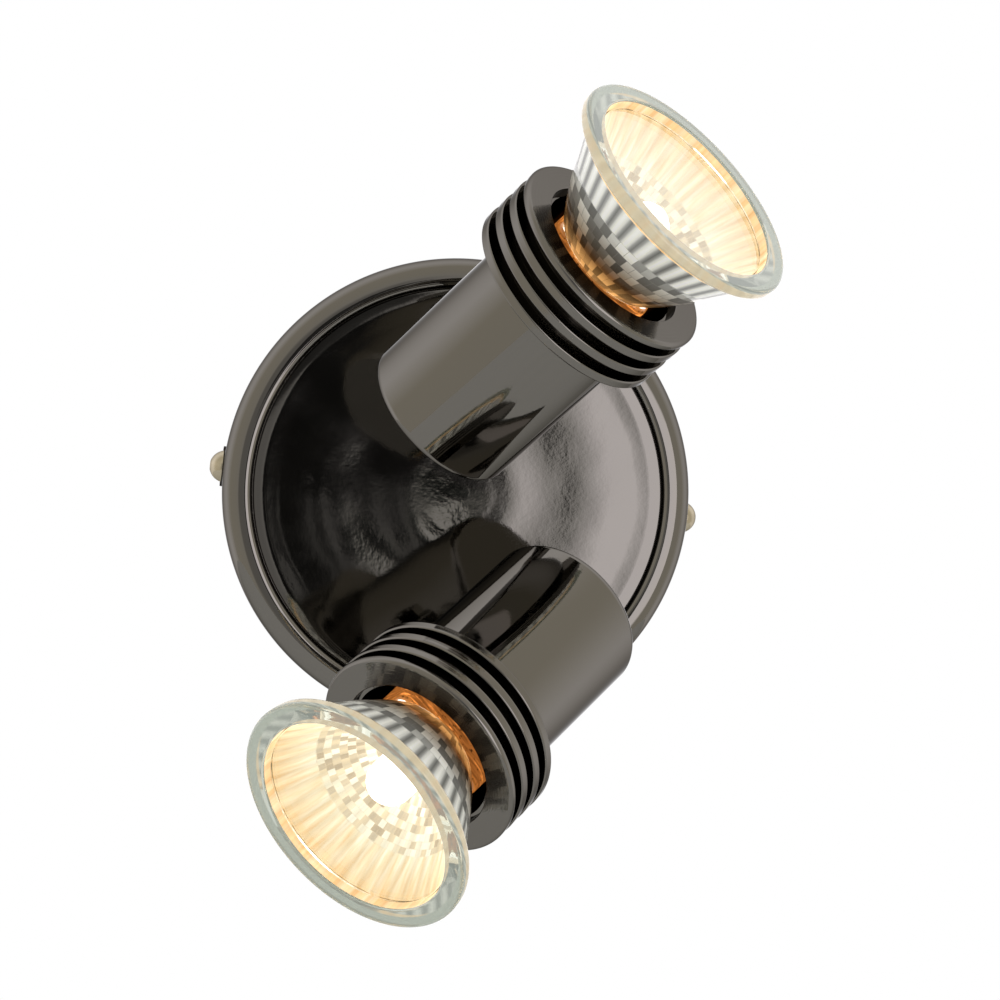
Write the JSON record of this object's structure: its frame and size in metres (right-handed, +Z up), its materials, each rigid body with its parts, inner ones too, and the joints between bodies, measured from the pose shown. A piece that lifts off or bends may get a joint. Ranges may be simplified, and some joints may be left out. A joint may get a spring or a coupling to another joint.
{
  "type": "twin spotlight",
  "caption": "Wall spotlight: round plate with rolled rim; finned cylinder heads on swivel stems pan and tilt, each with a pin-base reflector lamp that unlocks by a part turn.",
  "frame": {"origin": "centre of the round plate, on the wall", "axes": "+X to the right along the line of the side screws, +Y into the wall, +Z up"},
  "size_m": [0.1056, 0.1394, 0.1612],
  "materials": {
    "black_chrome": "black chrome plate, mirror polished",
    "nickel": "bright nickel plate",
    "dark_steel": "black oxide",
    "zinc_steel": "zinc plate",
    "polyamide": "natural white, satin",
    "fibre": "red vulcanised fibre, matt",
    "brass": "plain turned",
    "porcelain": "glazed porcelain",
    "lamp_glass": "clear pressed glass, mirrored facets inside",
    "cover_glass": "clear",
    "quartz": "clear, lit",
    "tungsten": "lit filament wire"
  },
  "bodies": {
    "base": {"base_plate": "black_chrome", "mounting_strap": "zinc_steel", "side_screws": "nickel", "side_washers": "dark_steel", "terminal_block": "polyamide", "terminal_sleeves": "brass", "terminal_screws": "zinc_steel", "terminal_fixing_screw": "zinc_steel", "earth_screw": "brass", "earth_washer": "brass"},
    "upper_stem_group": {"upper_stem": "black_chrome", "upper_stem_washer": "fibre", "upper_stem_spring_washer": "zinc_steel", "upper_stem_nut": "zinc_steel", "upper_knuckle_washer": "fibre", "upper_tilt_screw": "black_chrome", "upper_tilt_spring_washer": "dark_steel", "upper_tilt_nut": "black_chrome"},
    "upper_head_group": {"upper_knuckle_lug": "black_chrome", "upper_lug_nut": "zinc_steel", "upper_head_body": "black_chrome", "upper_front_ring": "black_chrome", "upper_lampholder": "porcelain", "upper_lampholder_contacts": "brass", "upper_holder_bracket": "zinc_steel", "upper_holder_screws": "zinc_steel"},
    "upper_lamp_group": {"upper_lamp_reflector": "lamp_glass", "upper_lamp_cover": "cover_glass", "upper_lamp_capsule": "quartz", "upper_lamp_filament": "tungsten", "upper_lamp_pins": "nickel"},
    "lower_stem_group": {"lower_stem": "black_chrome", "lower_stem_washer": "fibre", "lower_stem_spring_washer": "zinc_steel", "lower_stem_nut": "zinc_steel", "lower_knuckle_washer": "fibre", "lower_tilt_screw": "black_chrome", "lower_tilt_spring_washer": "dark_steel", "lower_tilt_nut": "black_chrome"},
    "lower_head_group": {"lower_knuckle_lug": "black_chrome", "lower_lug_nut": "zinc_steel", "lower_head_body": "black_chrome", "lower_front_ring": "black_chrome", "lower_lampholder": "porcelain", "lower_lampholder_contacts": "brass", "lower_holder_bracket": "zinc_steel", "lower_holder_screws": "zinc_steel"},
    "lower_lamp_group": {"lower_lamp_reflector": "lamp_glass", "lower_lamp_cover": "cover_glass", "lower_lamp_capsule": "quartz", "lower_lamp_filament": "tungsten", "lower_lamp_pins": "nickel"}
  },
  "joints": [
    {"name": "upper_pan", "type": "hinge", "parent": "base", "child": "upper_stem_group", "pos_m": [0, -0.0194, 0.034], "axis": [0, -1, 0], "range_deg": [-90, 180]},
    {"name": "upper_tilt", "type": "hinge", "parent": "upper_stem_group", "child": "upper_head_group", "pos_m": [0, -0.0575, 0.034], "axis": [0.7811, 0, -0.6244], "range_deg": [-30.58, 59.42]},
    {"name": "upper_lamp_twist", "type": "hinge", "parent": "upper_head_group", "child": "upper_lamp_group", "pos_m": [-0.00761, -0.0829, 0.02087], "axis": [0.5376, -0.5087, 0.6725], "range_deg": [0, 30]},
    {"name": "lower_pan", "type": "hinge", "parent": "base", "child": "lower_stem_group", "pos_m": [0, -0.0194, -0.034], "axis": [0, -1, 0], "range_deg": [-90, 180]},
    {"name": "lower_tilt", "type": "hinge", "parent": "lower_stem_group", "child": "lower_head_group", "pos_m": [0, -0.0575, -0.034], "axis": [-0.6928, 0, 0.7212], "range_deg": [-37.42, 52.58]},
    {"name": "lower_lamp_twist", "type": "hinge", "parent": "lower_head_group", "child": "lower_lamp_group", "pos_m": [0.01449, -0.08093, -0.0232], "axis": [-0.5727, -0.6077, -0.5502], "range_deg": [0, 30]}
  ]
}
